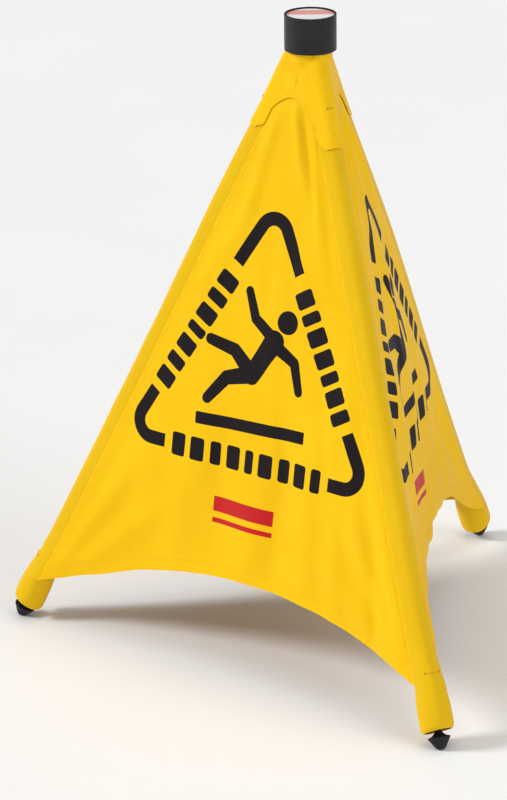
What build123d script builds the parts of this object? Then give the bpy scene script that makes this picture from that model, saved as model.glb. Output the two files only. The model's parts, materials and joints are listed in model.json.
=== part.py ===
"""Pop-up floor sign: a black capped head, three sprung folding legs on mushroom feet, and a sewn cover.

Millimetres, +Z up. The origin is on the floor under the head's axis. One leg points to +Y, and the cover's
front face looks to -Y. The sign stands open; each leg folds inwards about a pin in the head.
"""

import math
import os

from build123d import *

# Driving dimensions
HEIGHT = 508.0  # floor to the cap's rim
FOOT_RING_R = 240.0  # where the legs' axes meet the floor
CAP_R = 19.9
CAP_HEIGHT = 28.0
PIVOT_R = 9.0
PIVOT_Z = 482.0
LEG_R = 5.5
LEG_WALL = 0.8
CLOTH = 0.8
HEM_TOP_Z = 75.0  # top of the arch in each face's lower edge
HEM_END_Z = 37.5
FOOT_R = 8.6
POCKET_R = 13.0

# Where the legs and the faces between them point, in degrees from +X
LEGS = {"right": 330, "rear": 90, "left": 210}
FACES = {"front": 270, "right": 30, "left": 150}

# Fits and clearances
SLIP = 0.05
PIVOT_FIT = 0.06
RUNNING = 0.1
CLEAR = 0.3
OVERCUT = 1.0  # how far a cutting shape runs past the surface that it opens

# Each leg's axis, from its pin down to the floor
SPREAD = math.atan2(FOOT_RING_R - PIVOT_R, PIVOT_Z)

# Cap and what is under it
CAP_BOTTOM_Z = HEIGHT - CAP_HEIGHT
CAP_WALL = 1.7
CAP_RIM = 1.3
CAP_EDGE = 0.6
LABEL_Z = HEIGHT - 1.6
LABEL_T = 0.4
CAP_FLOOR_Z = LABEL_Z - 3.0
SCREW_RING_R = 11.0
SCREW_R = 1.45
SCREW_LENGTH = 12.0
SCREW_HEAD_R = 2.7
SCREW_HEAD_T = 1.9
SCREW_EDGE = 0.4
DRIVE_LENGTH = 3.0
DRIVE_WIDTH = 0.6
DRIVE_DEPTH = 1.0

# Hub
HUB_R = 15.5
HUB_TOP_R = CAP_R - CAP_WALL - CLEAR
HUB_BOTTOM_Z = 474.0
HUB_SHOULDER_Z = 492.0
SLOT_HALF = 4.5
SLOT_INNER_R = 4.1
SLOT_TOP_Z = 490.0
PIN_R = 1.5
PIN_HALF = 11.0
PIN_EDGE = 0.3

# Leg fittings, as distances down the leg's axis from the pin
EYE_R = 4.0
EYE_HALF = 4.35
SPRING_GAP_HALF = 2.45
SPRING_GAP_END = 9.5
NECK_HALF = 3.5
TAIL_LENGTH = 7.0
TAIL_HALF = 2.0
SHOULDER_L = 12.0
TUBE_L = 14.0
KNUCKLE_PLUG_END = 34.0
RIVET_L = 24.0
RIVET_R = 1.2
RIVET_PROUD = 0.15
TUBE_END = 512.0
PLUG_START = 498.0
PLUG_FLANGE_T = 2.5
FOOT_STEM_START = 503.0
FOOT_STEM_R = 2.3
FOOT_NECK_END = 519.5
FOOT_RIM_L = 524.8
FOOT_RIM_T = 0.8
FOOT_FLARE_DIP = 0.9  # how hollow the skirt above the rim is
FOOT_TIP_R = 5.2
FOOT_TIP_Z = 4.6  # height of the tip's centre, lower than its radius, so that the sole has a small flat

# Torsion spring
WIRE_R = 0.42
COIL_R = 2.75
COIL_PITCH = 0.95
COIL_TURNS = 3
SPRING_ARM_DOWN = 8.4
SPRING_ARM_UP = 6.3

# Cover
SLEEVE_START = 16.0
SLEEVE_R = LEG_R + CLEAR + CLOTH
FLARE_START = 478.0
FLARE_END = 486.0
POCKET_END = 520.5
PANEL_GAP = LEG_R + CLEAR + CLOTH + CLEAR  # from the plane through two legs' axes to the cloth's inner side
PANEL_TOP_Z = 473.0
PANEL_CORNER_Z = 55.0  # below this a panel narrows to clear the pockets
HEM_HALF = 174.0
YOKE_NECK_R = HUB_R + RUNNING
YOKE_NECK_TOP_Z = 490.0
YOKE_START_Z = 481.0
YOKE_BOTTOM_Z = 410.0
YOKE_ARCH_TOP_Z = 447.0
YOKE_ARCH_HALF = 28.0
YOKE_BEND_Z = 469.0  # where the yoke, spreading from its neck, meets the sleeves' tops
YOKE_FACE_SLOPE = 0.2053
YOKE_HEIGHT = SLEEVE_R + (CLEAR + CLOTH) * math.cos(SPREAD)  # its outer side over a leg's axis
CLAMP_T = 0.8
CLAMP_Z = 483.0
CLAMP_HEIGHT = 5.0
TACK_LOW_L = 470.0
TACK_HIGH_L = 47.0  # on the yoke's lobe
TACK_HALF = 4.0
TACK_R = 0.45
TACK_LOW_DEPTH = 1.95
TACK_HIGH_DEPTH = CLOTH + 0.1
TACK_HOLE_DEPTH = 3.0


def radial(angle):
    """Unit vector from the head's axis towards an angle in degrees."""
    turn = math.radians(angle)
    return Vector(math.cos(turn), math.sin(turn), 0)


def tangent(angle):
    """Unit vector square to radial(angle), anticlockwise seen from above."""
    return radial(angle + 90)


def leg_direction(angle):
    """Unit vector down a leg's axis."""
    return radial(angle) * math.sin(SPREAD) - Vector(0, 0, math.cos(SPREAD))


def pivot(angle):
    """Centre of a leg's hinge pin."""
    return radial(angle) * PIVOT_R + Vector(0, 0, PIVOT_Z)


def across_leg(angle):
    """Plane at the pin, square to the leg: X along the pin, Y outwards, Z down the leg."""
    return Plane(origin=pivot(angle), x_dir=tangent(angle), z_dir=leg_direction(angle))


def along_leg(angle):
    """Plane that holds the leg's axis: X outwards from the axis, Y down the leg."""
    plane = across_leg(angle)
    return Plane(origin=plane.origin, x_dir=plane.y_dir, z_dir=plane.x_dir)


def leg_axis(angle):
    return Axis(pivot(angle), leg_direction(angle))


def leg_radius_at(z):
    """Distance of a leg's axis from the head's axis at a height."""
    return PIVOT_R + (PIVOT_Z - z) * math.tan(SPREAD)


def sleeve_edge_at(z):
    """Furthest that a sleeve reaches from the head's axis at a height."""
    return leg_radius_at(z) + SLEEVE_R / math.cos(SPREAD)


def make_cap_shell():
    with BuildPart() as cap_shell:
        with BuildSketch(Plane.XY.offset(CAP_BOTTOM_Z)):
            Circle(CAP_R)
        extrude(amount=CAP_HEIGHT)
        with BuildSketch(Plane.XY.offset(CAP_BOTTOM_Z)):
            Circle(CAP_R - CAP_WALL)
        extrude(amount=CAP_FLOOR_Z - CAP_BOTTOM_Z, mode=Mode.SUBTRACT)
        with BuildSketch(Plane.XY.offset(LABEL_Z)):
            Circle(CAP_R - CAP_RIM)
        extrude(amount=HEIGHT - LABEL_Z, mode=Mode.SUBTRACT)
        with Locations(Plane.XY.offset(LABEL_Z)):
            with PolarLocations(SCREW_RING_R, len(FACES), start_angle=FACES["right"]):
                CounterBoreHole(
                    radius=SCREW_R + SLIP,
                    counter_bore_radius=SCREW_HEAD_R + RUNNING,
                    counter_bore_depth=SCREW_HEAD_T + RUNNING,
                    depth=LABEL_Z - CAP_FLOOR_Z,
                )
        rims = cap_shell.edges().filter_by(GeomType.CIRCLE)
        outer = rims.group_by(SortBy.RADIUS)[-1]
        fillet(outer, CAP_EDGE)
    return cap_shell.part


def make_cap_label():
    with BuildPart() as cap_label:
        with BuildSketch(Plane.XY.offset(LABEL_Z)):
            Circle(CAP_R - CAP_RIM - CLEAR)
        extrude(amount=LABEL_T)
    return cap_label.part


def make_cap_screws():
    """Three pan-head screws from the cap's floor into the hub, as separate solids."""
    seat = Plane.XY.offset(LABEL_Z - SCREW_HEAD_T - RUNNING)
    with BuildPart() as cap_screws:
        with BuildSketch(seat):
            with PolarLocations(SCREW_RING_R, len(FACES), start_angle=FACES["right"]):
                Circle(SCREW_HEAD_R)
        extrude(amount=SCREW_HEAD_T)
        chamfer(cap_screws.edges().group_by(Axis.Z)[-1], SCREW_EDGE)
        with BuildSketch(seat):
            with PolarLocations(SCREW_RING_R, len(FACES), start_angle=FACES["right"]):
                Circle(SCREW_R)
        extrude(amount=-SCREW_LENGTH)
        with BuildSketch(seat.offset(SCREW_HEAD_T)):
            with PolarLocations(SCREW_RING_R, len(FACES), start_angle=FACES["right"]):
                Rectangle(DRIVE_LENGTH, DRIVE_WIDTH)
                Rectangle(DRIVE_WIDTH, DRIVE_LENGTH)
        extrude(amount=-DRIVE_DEPTH, mode=Mode.SUBTRACT)
    return cap_screws.part


def make_hub():
    """The moulded core: a barrel with three open slots for the legs' knuckles."""
    with BuildPart() as hub:
        with BuildSketch(Plane.XY.offset(HUB_BOTTOM_Z)):
            Circle(HUB_R)
        extrude(amount=CAP_FLOOR_Z - HUB_BOTTOM_Z)
        with BuildSketch(Plane.XY.offset(HUB_SHOULDER_Z)):
            Circle(HUB_TOP_R)
        extrude(amount=CAP_FLOOR_Z - HUB_SHOULDER_Z)
        with BuildSketch(Plane.XY.offset(HUB_BOTTOM_Z)):
            slot_length = HUB_TOP_R - SLOT_INNER_R + OVERCUT
            with PolarLocations(SLOT_INNER_R + slot_length / 2, len(LEGS), start_angle=LEGS["rear"]):
                Rectangle(slot_length, 2 * SLOT_HALF)
        extrude(amount=SLOT_TOP_Z - HUB_BOTTOM_Z, mode=Mode.SUBTRACT)
        for angle in LEGS.values():
            hole = Plane(origin=pivot(angle) - tangent(angle) * PIN_HALF, z_dir=tangent(angle))
            with BuildSketch(hole):
                Circle(PIN_R + SLIP)
            extrude(amount=PIN_HALF + HUB_R, mode=Mode.SUBTRACT)
        with BuildSketch(Plane.XY.offset(CAP_FLOOR_Z)):
            with PolarLocations(SCREW_RING_R, len(FACES), start_angle=FACES["right"]):
                Circle(SCREW_R + SLIP)
        extrude(amount=-SCREW_LENGTH, mode=Mode.SUBTRACT)
    return hub.part


def make_hinge_pin(angle):
    with BuildPart() as hinge_pin:
        with BuildSketch(Plane(origin=pivot(angle), z_dir=tangent(angle))):
            Circle(PIN_R)
        extrude(amount=PIN_HALF, both=True)
        chamfer(hinge_pin.edges().filter_by(GeomType.CIRCLE), PIN_EDGE)
    return hinge_pin.part


def make_torsion_spring(angle):
    """Close-wound coil round the pin, with one arm down the leg and one up into the hub."""
    plane = across_leg(angle)
    coil_height = COIL_PITCH * COIL_TURNS
    centre = plane.from_local_coords(Vector(-coil_height / 2, 0, 0))
    coil_plane = Plane(origin=centre, x_dir=plane.y_dir, z_dir=plane.x_dir)
    coil = Helix(COIL_PITCH, coil_height, COIL_R).moved(coil_plane.location)
    with BuildPart() as torsion_spring:
        with BuildLine() as wire:
            Line((coil @ 0) - (coil % 0) * SPRING_ARM_UP, coil @ 0)
            add(coil)
            Line(coil @ 1, (coil @ 1) + (coil % 1) * SPRING_ARM_DOWN)
        with BuildSketch(Plane(origin=wire.wire() @ 0, z_dir=coil % 0)):
            Circle(WIRE_R)
        sweep(path=wire.wire())
    return torsion_spring.part


def make_knuckle(angle):
    """Moulded leg top: a forked eye on the pin, a tail that stops the leg, and a plug in the tube."""
    plane = across_leg(angle)
    side = along_leg(angle)
    with BuildPart() as knuckle:
        with BuildSketch(side):
            Circle(EYE_R)
            with Locations((0, -TAIL_LENGTH / 2)):
                Rectangle(2 * TAIL_HALF, TAIL_LENGTH)
            with Locations((0, SHOULDER_L / 2)):
                Rectangle(2 * NECK_HALF, SHOULDER_L)
        extrude(amount=EYE_HALF, both=True)
        with BuildSketch(plane.offset(SHOULDER_L)):
            Circle(LEG_R)
        extrude(amount=TUBE_L - SHOULDER_L)
        with BuildSketch(plane.offset(TUBE_L)):
            Circle(LEG_R - LEG_WALL - SLIP)
        extrude(amount=KNUCKLE_PLUG_END - TUBE_L)
        gap_length = SPRING_GAP_END + TAIL_LENGTH + OVERCUT
        with BuildSketch(side):
            with Locations((0, SPRING_GAP_END - gap_length / 2)):
                Rectangle(4 * EYE_R, gap_length)
        extrude(amount=SPRING_GAP_HALF, both=True, mode=Mode.SUBTRACT)
        with BuildSketch(side):
            Circle(PIN_R + PIVOT_FIT)
        extrude(amount=2 * EYE_HALF, both=True, mode=Mode.SUBTRACT)
        with BuildSketch(Plane(origin=plane.offset(RIVET_L).origin, z_dir=plane.y_dir)):
            Circle(RIVET_R + SLIP)
        extrude(amount=2 * LEG_R, both=True, mode=Mode.SUBTRACT)
    return knuckle.part


def make_knuckle_rivet(angle):
    """Rivet through the tube and the knuckle's plug."""
    plane = across_leg(angle)
    with BuildPart() as knuckle_rivet:
        with BuildSketch(Plane(origin=plane.offset(RIVET_L).origin, z_dir=plane.y_dir)):
            Circle(RIVET_R)
        extrude(amount=LEG_R + RIVET_PROUD, both=True)
    return knuckle_rivet.part


def make_leg_tube(angle):
    plane = across_leg(angle)
    with BuildPart() as leg_tube:
        with BuildSketch(plane.offset(TUBE_L)):
            Circle(LEG_R)
            Circle(LEG_R - LEG_WALL, mode=Mode.SUBTRACT)
        extrude(amount=TUBE_END - TUBE_L)
        with BuildSketch(Plane(origin=plane.offset(RIVET_L).origin, z_dir=plane.y_dir)):
            Circle(RIVET_R + SLIP)
        extrude(amount=2 * LEG_R, both=True, mode=Mode.SUBTRACT)
    return leg_tube.part


def make_end_plug(angle):
    plane = across_leg(angle)
    with BuildPart() as end_plug:
        with BuildSketch(plane.offset(PLUG_START)):
            Circle(LEG_R - LEG_WALL - SLIP)
        extrude(amount=TUBE_END - PLUG_START)
        with BuildSketch(plane.offset(TUBE_END)):
            Circle(LEG_R)
        extrude(amount=PLUG_FLANGE_T)
        with BuildSketch(plane.offset(TUBE_END + PLUG_FLANGE_T)):
            Circle(FOOT_STEM_R + SLIP)
        extrude(amount=FOOT_STEM_START - TUBE_END - PLUG_FLANGE_T, mode=Mode.SUBTRACT)
    return end_plug.part


def make_foot_tip(angle):
    """Rubber mushroom: a thin neck, a flared rim and a blunt cone, cut off flat at the floor."""
    tip_l = (PIVOT_Z - FOOT_TIP_Z) / math.cos(SPREAD)
    rim_l = FOOT_RIM_L + FOOT_RIM_T
    reach = math.hypot(FOOT_R, rim_l - tip_l)
    turn = math.atan2(rim_l - tip_l, FOOT_R) + math.acos(FOOT_TIP_R / reach)
    half_turn = (turn + math.pi / 2) / 2
    touch = (FOOT_TIP_R * math.cos(turn), tip_l + FOOT_TIP_R * math.sin(turn))
    middle = (FOOT_TIP_R * math.cos(half_turn), tip_l + FOOT_TIP_R * math.sin(half_turn))
    with BuildPart() as foot_tip:
        with BuildSketch(along_leg(angle)):
            with BuildLine():
                Polyline((0, tip_l + FOOT_TIP_R), (0, FOOT_STEM_START), (FOOT_STEM_R, FOOT_STEM_START))
                Line((FOOT_STEM_R, FOOT_STEM_START), (FOOT_STEM_R, FOOT_NECK_END))
                flare_r = (FOOT_STEM_R + FOOT_R) / 2 - FOOT_FLARE_DIP
                flare_l = (FOOT_NECK_END + FOOT_RIM_L) / 2 + FOOT_FLARE_DIP
                ThreePointArc((FOOT_STEM_R, FOOT_NECK_END), (flare_r, flare_l), (FOOT_R, FOOT_RIM_L))
                Polyline((FOOT_R, FOOT_RIM_L), (FOOT_R, rim_l), touch)
                ThreePointArc(touch, middle, (0, tip_l + FOOT_TIP_R))
            make_face()
        revolve(axis=leg_axis(angle))
        split(bisect_by=Plane.XY, keep=Keep.TOP)
    return foot_tip.part


def make_leg_sleeve(angle):
    """Sewn channel round a leg that opens into a wide pocket above the foot."""
    with BuildPart() as leg_sleeve:
        with BuildSketch(along_leg(angle)):
            with BuildLine():
                inner = SLEEVE_R - CLOTH
                Polyline(
                    (inner, SLEEVE_START),
                    (SLEEVE_R, SLEEVE_START),
                    (SLEEVE_R, FLARE_START),
                    (POCKET_R, FLARE_END),
                    (POCKET_R, POCKET_END),
                    (POCKET_R - CLOTH, POCKET_END),
                    (POCKET_R - CLOTH, FLARE_END + CLOTH / 2),
                    (inner, FLARE_START + CLOTH / 2),
                    close=True,
                )
            make_face()
        revolve(axis=leg_axis(angle))
        with BuildSketch(tack_plane(angle, TACK_LOW_L, SLEEVE_R)):
            with Locations((-TACK_HALF + TACK_R, 0), (TACK_HALF - TACK_R, 0)):
                Circle(TACK_R + SLIP)
        extrude(amount=-TACK_HOLE_DEPTH, mode=Mode.SUBTRACT)
    return leg_sleeve.part


def tack_plane(angle, distance, height):
    """Plane at a height above a leg's axis: X across the leg, Z outwards."""
    plane = across_leg(angle)
    origin = plane.from_local_coords(Vector(0, height, distance))
    return Plane(origin=origin, x_dir=plane.x_dir, z_dir=plane.y_dir)


def make_bar_tack(plane, depth):
    """Thick stitch: a bar that lies on the cloth, with an end through it at each side."""
    with BuildPart() as bar_tack:
        with BuildSketch(plane):
            with Locations((-TACK_HALF + TACK_R, 0), (TACK_HALF - TACK_R, 0)):
                Circle(TACK_R)
        extrude(amount=-depth)
        with BuildSketch(plane):
            SlotOverall(2 * TACK_HALF, 2 * TACK_R)
        extrude(amount=2 * TACK_R)
    return bar_tack.part


def face_plane(angle):
    """Plane of a panel's inner side: X along the hem, Y up the face, Z outwards, origin at floor height."""
    lean = math.atan(math.tan(SPREAD) / 2)
    outwards = radial(angle) * math.cos(lean) + Vector(0, 0, math.sin(lean))
    distance = leg_radius_at(0) / 2 + PANEL_GAP / math.cos(lean)
    return Plane(origin=radial(angle) * distance, x_dir=tangent(angle), z_dir=outwards)


def make_cover_panel(angle):
    """One face of the cover, with the arch cut in its lower edge."""
    up = 1 / math.cos(math.atan(math.tan(SPREAD) / 2))
    corner = leg_radius_at(PANEL_CORNER_Z) * math.sqrt(3) / 2
    top = leg_radius_at(PANEL_TOP_Z) * math.sqrt(3) / 2
    with BuildPart() as cover_panel:
        with BuildSketch(face_plane(angle)):
            with BuildLine():
                ThreePointArc((-HEM_HALF, HEM_END_Z * up), (0, HEM_TOP_Z * up), (HEM_HALF, HEM_END_Z * up))
                Polyline(
                    (HEM_HALF, HEM_END_Z * up),
                    (corner, PANEL_CORNER_Z * up),
                    (top, PANEL_TOP_Z * up),
                    (-top, PANEL_TOP_Z * up),
                    (-corner, PANEL_CORNER_Z * up),
                    (-HEM_HALF, HEM_END_Z * up),
                )
            make_face()
        extrude(amount=CLOTH)
    return cover_panel.part


def yoke_solid(extra):
    """The yoke's shape grown by extra: a cone that follows the legs, cut back by a plane at each face."""
    depth = YOKE_START_Z - YOKE_BOTTOM_Z
    start_r = YOKE_NECK_R + extra
    with BuildPart() as solid:
        with BuildSketch(Plane.XZ):
            with BuildLine():
                Polyline(
                    (0, YOKE_NECK_TOP_Z),
                    (start_r, YOKE_NECK_TOP_Z),
                    (start_r, YOKE_START_Z),
                    (sleeve_edge_at(YOKE_BEND_Z) + CLEAR + extra, YOKE_BEND_Z),
                    (sleeve_edge_at(YOKE_BOTTOM_Z) + CLEAR + extra, YOKE_BOTTOM_Z),
                    (0, YOKE_BOTTOM_Z),
                    close=True,
                )
            make_face()
        revolve(axis=Axis.Z)
        lean = math.atan(YOKE_FACE_SLOPE)
        for angle in FACES.values():
            outwards = radial(angle) * math.cos(lean) + Vector(0, 0, math.sin(lean))
            origin = radial(angle) * start_r + Vector(0, 0, YOKE_START_Z)
            with BuildPart(mode=Mode.PRIVATE) as beyond:
                with BuildSketch(Plane(origin=origin, x_dir=tangent(angle), z_dir=outwards)):
                    Rectangle(4 * depth, 4 * depth)
                extrude(amount=2 * depth)
                split(bisect_by=Plane.XY.offset(YOKE_START_Z), keep=Keep.BOTTOM)
            add(beyond.part, mode=Mode.SUBTRACT)
    return solid.part


def make_cover_yoke():
    """Reinforcing layer under the cap: a neck, and a lobe down each leg with an arch over each face."""
    inner = yoke_solid(0)
    outer = yoke_solid(CLOTH)
    with BuildPart() as cover_yoke:
        add(outer)
        add(inner, mode=Mode.SUBTRACT)
        for angle in FACES.values():
            with BuildSketch(Plane(origin=(0, 0, 0), x_dir=tangent(angle), z_dir=radial(angle))):
                with BuildLine():
                    ThreePointArc(
                        (-YOKE_ARCH_HALF, YOKE_BOTTOM_Z - OVERCUT),
                        (0, YOKE_ARCH_TOP_Z),
                        (YOKE_ARCH_HALF, YOKE_BOTTOM_Z - OVERCUT),
                    )
                    Line(
                        (YOKE_ARCH_HALF, YOKE_BOTTOM_Z - OVERCUT),
                        (-YOKE_ARCH_HALF, YOKE_BOTTOM_Z - OVERCUT),
                    )
                make_face()
            extrude(amount=2 * YOKE_ARCH_TOP_Z, mode=Mode.SUBTRACT)
        for angle in LEGS.values():
            with BuildSketch(tack_plane(angle, TACK_HIGH_L, YOKE_HEIGHT)):
                with Locations((-TACK_HALF + TACK_R, 0), (TACK_HALF - TACK_R, 0)):
                    Circle(TACK_R + SLIP)
            extrude(amount=-TACK_HOLE_DEPTH, mode=Mode.SUBTRACT)
    return cover_yoke.part


def make_cover_clamp():
    """Band that grips the yoke's neck against the hub."""
    with BuildPart() as cover_clamp:
        with BuildSketch(Plane.XY.offset(CLAMP_Z)):
            Circle(YOKE_NECK_R + CLOTH + RUNNING + CLAMP_T)
            Circle(YOKE_NECK_R + CLOTH + RUNNING, mode=Mode.SUBTRACT)
        extrude(amount=CLAMP_HEIGHT)
    return cover_clamp.part


def write(name, part):
    part.label = name
    export_step(part, f"parts/{name}.step")


def main():
    os.makedirs("parts", exist_ok=True)
    write("cap_shell", make_cap_shell())
    write("cap_label", make_cap_label())
    write("cap_screws", make_cap_screws())
    write("hub", make_hub())
    write("cover_yoke", make_cover_yoke())
    write("cover_clamp", make_cover_clamp())
    for face, angle in FACES.items():
        write(f"cover_panel_{face}", make_cover_panel(angle))
    for leg, angle in LEGS.items():
        write(f"hinge_pin_{leg}", make_hinge_pin(angle))
        write(f"torsion_spring_{leg}", make_torsion_spring(angle))
        write(f"leg_knuckle_{leg}", make_knuckle(angle))
        write(f"knuckle_rivet_{leg}", make_knuckle_rivet(angle))
        write(f"leg_tube_{leg}", make_leg_tube(angle))
        write(f"end_plug_{leg}", make_end_plug(angle))
        write(f"foot_tip_{leg}", make_foot_tip(angle))
        write(f"leg_sleeve_{leg}", make_leg_sleeve(angle))
        low = tack_plane(angle, TACK_LOW_L, SLEEVE_R)
        write(f"lower_tack_{leg}", make_bar_tack(low, TACK_LOW_DEPTH))
        high = tack_plane(angle, TACK_HIGH_L, YOKE_HEIGHT)
        write(f"upper_tack_{leg}", make_bar_tack(high, TACK_HIGH_DEPTH))


main()
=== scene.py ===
"""A folding wet floor cone: a yellow cloth cover on three sprung legs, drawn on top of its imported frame."""

import json
import math
from types import SimpleNamespace

import bpy
import numpy as np
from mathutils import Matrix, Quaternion, Vector
from mathutils.geometry import delaunay_2d_cdt


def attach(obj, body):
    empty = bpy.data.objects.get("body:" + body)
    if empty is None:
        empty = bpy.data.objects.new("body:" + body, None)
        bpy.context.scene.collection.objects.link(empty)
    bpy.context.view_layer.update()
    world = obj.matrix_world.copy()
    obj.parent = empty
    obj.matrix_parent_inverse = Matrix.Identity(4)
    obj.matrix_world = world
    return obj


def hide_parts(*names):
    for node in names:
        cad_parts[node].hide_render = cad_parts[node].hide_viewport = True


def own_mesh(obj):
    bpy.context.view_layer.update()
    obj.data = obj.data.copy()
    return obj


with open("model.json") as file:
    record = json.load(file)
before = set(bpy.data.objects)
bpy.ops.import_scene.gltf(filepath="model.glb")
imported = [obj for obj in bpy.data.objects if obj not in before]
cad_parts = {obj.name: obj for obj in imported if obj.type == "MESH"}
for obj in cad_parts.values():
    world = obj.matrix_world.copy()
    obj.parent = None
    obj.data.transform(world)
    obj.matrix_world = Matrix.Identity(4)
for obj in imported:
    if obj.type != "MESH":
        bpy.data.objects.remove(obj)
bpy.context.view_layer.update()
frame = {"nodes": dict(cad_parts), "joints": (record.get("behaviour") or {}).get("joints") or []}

MM = 0.001
UP = np.array([0.0, 0.0, 1.0])
LEG_NAMES = ("right", "rear", "left")

# ---------------------------------------------------------------- sizes, in metres
FOOT_RING = 0.240  # radius of the circle through the feet
RHO = 0.0069  # outer radius of the sleeve along most of a leg
POCKET_RHO = 0.0131  # outer radius of the sleeve's pocket at the foot
POCKET_END = 0.5204  # distance from the hinge pin to the pocket's open end
RIDGE_TOP = 0.010  # distance from the hinge pin to the sleeve's upper end
FLANGE = 0.007  # how far the sleeve's cloth runs on over a face before its seam
CLOTH = 0.0005
HEM_DEEP = 0.011  # height of the turned hem
HEM_STEP = 0.0008  # over which its extra thickness ends
HEM_EXTRA = 0.0009
PANEL_TOP_Z = 0.4695  # the panels' upper edge, under the yoke
YOKE_TOP_Z = 0.484  # the collar's upper edge, up inside the cap
COLLAR_END_Z = 0.4712  # below this the yoke moves with the legs
YOKE_STITCH = 2.6  # distance of its stitching from its edge, in millimetres
YOKE_LIFT = 0.0011  # the yoke's outer surface stands this far proud of the panels'
LAP = 0.00015  # how far neighbouring pieces of one surface run into each other
GRID = 2.6  # spacing of the panels' inner points, in millimetres
SEAM_IN = 0.0098  # how far inside the leg's line the face's seam stitching runs
HEM_STITCH = 0.0095  # height of the hem's stitching over its edge
SLEEVE_CLOTH = 0.0006
BORE_LEAST = 0.0059  # radius of the sleeve's inside round the tube
MOUTH_TILT = 0.15  # slope of the pocket's open end, higher on the outside
TONGUE = 0.0065  # length of the narrowing end of the yoke's tongue
TAPER = 0.40  # share of its width that the tongue loses there
NECK_R = 0.0157  # the panels' outer radius where they would go round the hub
HUB_FOOT_Z = 0.474
LOW_TACK_RUN = 0.4765  # distance from the hinge pin to each bar tack
TOP_TACK_RUN = 0.047
FOLD_GAIN = 2.0  # factor on the heights in FOLDS

# How far the cloth stands off a leg in its upper part, and where that is greatest along the leg.
LOOSE = {"right": (0.0003, 0.16), "rear": (0.0032, 0.20), "left": (0.0012, 0.12)}
LOOSE_FROM = 0.045  # distances along a leg where that looseness starts, and over which it ends
LOOSE_FADE = 0.21


def unit(v):
    """The vector at length 1."""
    return v / np.linalg.norm(v)


def smooth(x):
    """A soft step from 0 at 0 to 1 at 1."""
    x = np.clip(x, 0.0, 1.0)
    return x * x * (3 - 2 * x)


def curve_through(points):
    """A smooth function through (x, y) points, with the slopes that a hand-drawn line would have."""
    x = np.array([p[0] for p in points], float)
    y = np.array([p[1] for p in points], float)
    slope = np.gradient(y, x)

    def value(at):
        at = np.clip(np.asarray(at, float), x[0], x[-1])
        i = np.clip(np.searchsorted(x, at) - 1, 0, len(x) - 2)
        step = x[i + 1] - x[i]
        f = (at - x[i]) / step
        h00 = 2 * f**3 - 3 * f**2 + 1
        h10 = f**3 - 2 * f**2 + f
        h01 = -2 * f**3 + 3 * f**2
        h11 = f**3 - f**2
        return h00 * y[i] + h10 * step * slope[i] + h01 * y[i + 1] + h11 * step * slope[i + 1]

    return value


# ---------------------------------------------------------------- legs, faces and half faces
JOINTS = {j["name"]: j for j in frame["joints"]}


def make_leg(name):
    """A leg's hinge pin and directions: outwards, down the leg, across it, and out from its ridge."""
    pin = np.array(JOINTS["fold_" + name]["pos_m"])
    radial = unit(pin * [1, 1, 0])
    down = unit(radial * FOOT_RING - pin)
    across = np.cross(UP, radial)
    return SimpleNamespace(
        name=name,
        pin=pin,
        radial=radial,
        down=down,
        across=across,
        ridge=np.cross(down, across),
    )


LEGS = {name: make_leg(name) for name in LEG_NAMES}


def make_face(name, low, high):
    """The plane through two leg axes: across runs from leg low to leg high, up climbs, and out faces away."""
    across = unit(high.pin - low.pin)
    up = -unit(low.down + high.down)
    middle = (low.pin + high.pin) / 2
    return SimpleNamespace(
        name=name,
        low=low,
        high=high,
        across=across,
        up=up,
        out=np.cross(across, up),
        foot=middle - up * middle[2] / up[2],
    )


FACES = {
    "front": make_face("front", LEGS["left"], LEGS["right"]),
    "right": make_face("right", LEGS["right"], LEGS["rear"]),
    "left": make_face("left", LEGS["rear"], LEGS["left"]),
}

ONE_FACE = FACES["front"]
PIN_U = float((ONE_FACE.high.pin - ONE_FACE.foot) @ ONE_FACE.across)
PIN_T = float((ONE_FACE.high.pin - ONE_FACE.foot) @ ONE_FACE.up)
DU = float(ONE_FACE.high.down @ ONE_FACE.across)
DT = float(ONE_FACE.high.down @ ONE_FACE.up)
UP_Z = float(ONE_FACE.up[2])
WRAP = math.acos(float(ONE_FACE.out @ ONE_FACE.high.ridge))  # a face's normal to the ridge
Q_RIDGE = WRAP * RHO


def make_half(face, side):
    """One side of a face, with the leg it is sewn to."""
    leg = face.high if side > 0 else face.low
    edge = face.across * side * -DT + face.up * DU
    return SimpleNamespace(
        face=face,
        side=side,
        leg=leg,
        edge=edge,
        name=f"{face.name}_{'high' if side > 0 else 'low'}",
    )


HALVES = [make_half(f, side) for f in FACES.values() for side in (-1, 1)]


def to_leg(u, t):
    """(distance outside the leg's line, distance down the leg) of a point of a face."""
    a, b = u - PIN_U, t - PIN_T
    return -a * DT + b * DU, a * DU + b * DT


def to_face(q, run):
    """The point of a face, as (u, t), for to_leg's two distances."""
    return PIN_U + run * DU - q * DT, PIN_T + run * DT + q * DU


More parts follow.
